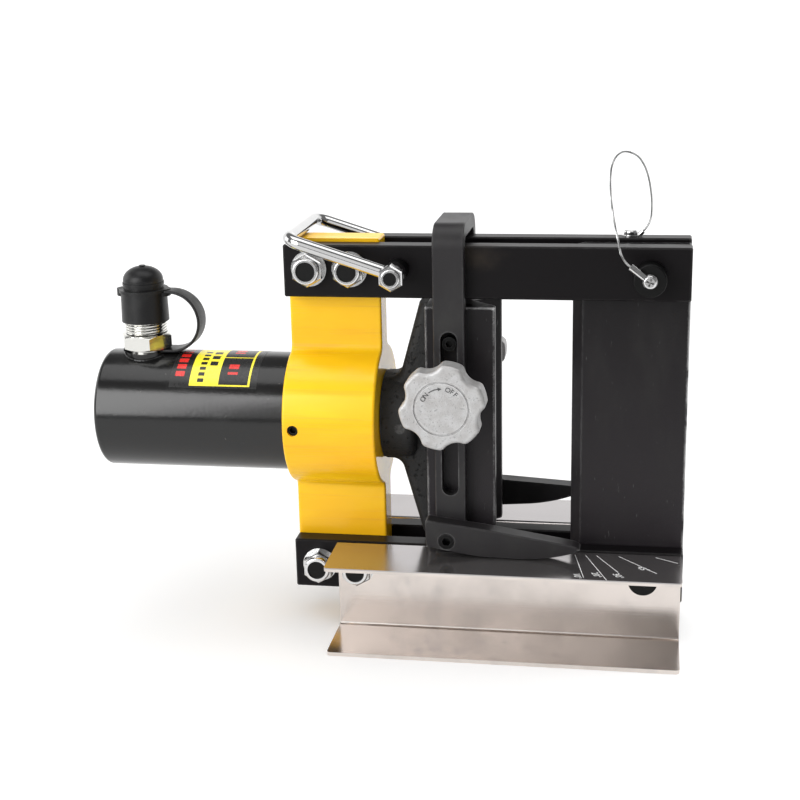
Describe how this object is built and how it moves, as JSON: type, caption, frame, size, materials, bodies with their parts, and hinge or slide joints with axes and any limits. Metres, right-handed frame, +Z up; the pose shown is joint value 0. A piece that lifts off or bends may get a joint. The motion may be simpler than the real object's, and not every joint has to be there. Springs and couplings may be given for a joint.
{
  "type": "hydraulic bar bender",
  "caption": "Bench bar bender: a hydraulic ram drives a vee die against a pinned fixed die between twin beams, with channel tables, a clamped bar rest and a swing handle.",
  "frame": {"origin": "floor level under the middle of the overall length and width", "axes": "+X along the ram's working stroke, +Y to the rear away from the operator, +Z up"},
  "size_m": [0.3722, 0.138, 0.3061],
  "materials": {
    "beam_black": "satin black paint, scuffed along the edges",
    "yellow_paint": "gloss yellow paint over a casting",
    "cylinder_black": "gloss black paint",
    "cast_black": "rough black casting",
    "die_black": "blackened steel, bright worn edges",
    "strap_grey": "satin dark grey",
    "cast_aluminium": "fine sand cast",
    "nickel_plate": "mirror nickel plate",
    "handle_chrome": "chrome plate",
    "bright_zinc": "bright zinc plate",
    "black_oxide": "black oxide",
    "ground_steel": "ground steel",
    "bush_bronze": "machined bronze",
    "olive_zinc": "olive passivated zinc",
    "cap_rubber": "matte dark grey rubber",
    "seal_rubber": "black seal rubber",
    "spring_steel": "drawn spring wire"
  },
  "bodies": {
    "frame": {"front_top_beam": "beam_black", "rear_top_beam": "beam_black", "front_bottom_beam": "beam_black", "rear_bottom_beam": "beam_black", "front_table": "nickel_plate", "rear_table": "nickel_plate", "cylinder_head": "yellow_paint", "boss_set_screw": "black_oxide", "cylinder_tube": "cylinder_black", "guide_bush": "bush_bronze", "rod_wiper": "seal_rubber", "return_spring": "spring_steel", "frame_bolts": "black_oxide", "frame_nuts": "bright_zinc", "frame_washers": "bright_zinc", "fixed_die": "die_black", "lower_die_pin": "black_oxide", "lower_die_nut": "black_oxide", "handle_stud": "black_oxide", "handle_spacers": "black_oxide", "handle_nuts": "bright_zinc", "coupler_body": "olive_zinc", "coupler_spring": "spring_steel", "dust_cap_tether": "cap_rubber", "lanyard_anchor": "bright_zinc", "anchor_screw": "bright_zinc", "lanyard_cable": "spring_steel"},
    "ram": {"piston": "ground_steel", "piston_seal": "seal_rubber", "piston_rod": "ground_steel", "ram_head": "cast_black", "ram_head_screw": "black_oxide", "moving_die": "die_black", "die_screws": "black_oxide", "guide_screws": "black_oxide"},
    "bar_rest": {"rest_strap": "strap_grey", "rest_arm_screws": "black_oxide"},
    "front_arm": {"front_rest_arm": "strap_grey"},
    "rear_arm": {"rear_rest_arm": "strap_grey"},
    "front_clamp": {"front_knob": "cast_aluminium", "front_knob_stud": "bright_zinc"},
    "rear_clamp": {"rear_knob": "cast_aluminium", "rear_knob_stud": "bright_zinc"},
    "handle": {"carry_handle": "handle_chrome"},
    "pull_pin": {"die_pin": "black_oxide", "pin_screw": "bright_zinc", "pin_eye": "bright_zinc"},
    "cap": {"dust_cap": "cap_rubber"},
    "poppet": {"coupler_poppet": "ground_steel"}
  },
  "joints": [
    {"name": "ram_stroke", "type": "slide", "parent": "frame", "child": "ram", "axis": [1, 0, 0], "range_m": [0, 0.055], "stiffness_N_per_m": 2000, "springref_m": -0.012, "deforming": ["return_spring"]},
    {"name": "rest_height", "type": "slide", "parent": "ram", "child": "bar_rest", "axis": [0, 0, 1], "range_m": [0, 0.055]},
    {"name": "front_arm_tilt", "type": "hinge", "parent": "bar_rest", "child": "front_arm", "pos_m": [0.0406, -0.03765, 0.0692], "axis": [0, -1, 0], "range_deg": [0, 12]},
    {"name": "rear_arm_tilt", "type": "hinge", "parent": "bar_rest", "child": "rear_arm", "pos_m": [0.0406, 0.03765, 0.0742], "axis": [0, -1, 0], "range_deg": [-5, 7]},
    {"name": "front_knob_turn", "type": "hinge", "parent": "ram", "child": "front_clamp", "pos_m": [0.0421, -0.05, 0.1624], "axis": [0, -1, 0], "continuous": true},
    {"name": "rear_knob_turn", "type": "hinge", "parent": "ram", "child": "rear_clamp", "pos_m": [0.0421, 0.05, 0.1673], "axis": [0, 1, 0], "continuous": true},
    {"name": "handle_swing", "type": "hinge", "parent": "frame", "child": "handle", "pos_m": [0.0106, 0, 0.237], "axis": [0, 1, 0], "range_deg": [0, 145]},
    {"name": "pin_pull", "type": "slide", "parent": "frame", "child": "pull_pin", "axis": [0, -1, 0], "range_m": [0, 0.055], "deforming": ["lanyard_cable"]},
    {"name": "cap_lift", "type": "slide", "parent": "frame", "child": "cap", "axis": [0, 0, 1], "range_m": [0, 0.04], "deforming": ["dust_cap_tether"]},
    {"name": "poppet_press", "type": "slide", "parent": "frame", "child": "poppet", "axis": [0, 0, -1], "range_m": [0, 0.0045], "stiffness_N_per_m": 900, "springref_m": -0.003, "deforming": ["coupler_spring"]}
  ]
}
